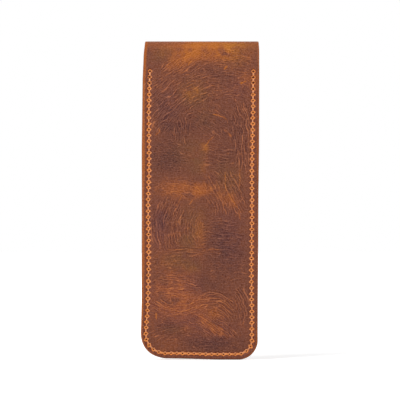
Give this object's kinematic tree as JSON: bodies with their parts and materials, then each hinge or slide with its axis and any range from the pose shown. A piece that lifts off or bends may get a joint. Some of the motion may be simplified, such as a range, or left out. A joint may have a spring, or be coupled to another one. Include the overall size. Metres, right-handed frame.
{
  "type": "double pen case",
  "caption": "Leather case for two pens: formed front with two channels and a divider, sewn to a back whose hide folds over as a flap held by a band.",
  "frame": {"origin": "centre of the bounding box at the bottom end, where the case stands", "axes": "+Z along the case from its rounded bottom to the fold, +X across its width, -Y out of the plain back and +Y out of the front that the flap covers"},
  "size_m": [0.06, 0.0186, 0.1625],
  "materials": {
    "hide": "waxed pull-up, satin",
    "formed_hide": "waxed pull-up, satin",
    "divider_hide": "plain, matt",
    "thread": "waxed, matt"
  },
  "bodies": {
    "case": {"back_panel": "hide", "back_fold": "hide", "front_panel": "formed_hide", "pen_divider": "divider_hide", "retaining_band": "hide", "back_seam_thread": "thread", "front_seam_thread": "thread", "divider_seam_thread": "thread", "divider_seam_thread_inside": "thread"},
    "flap_top": {"flap_top": "hide", "front_fold": "hide"},
    "flap_tongue": {"flap_tongue": "hide"}
  },
  "joints": [
    {"name": "back_fold_hinge", "type": "hinge", "parent": "case", "child": "flap_top", "pos_m": [0, -0.00763, 0.16083], "axis": [1, 0, 0], "range_deg": [0, 100], "deforming": ["back_fold", "retaining_band"]},
    {"name": "front_fold_hinge", "type": "hinge", "parent": "flap_top", "child": "flap_tongue", "pos_m": [0, 0.00583, 0.16083], "axis": [1, 0, 0], "range_deg": [0, 100], "deforming": ["front_fold"]}
  ],
  "couplings": [
    {"joint": "front_fold_hinge", "follows": "back_fold_hinge", "ratio": 1}
  ]
}
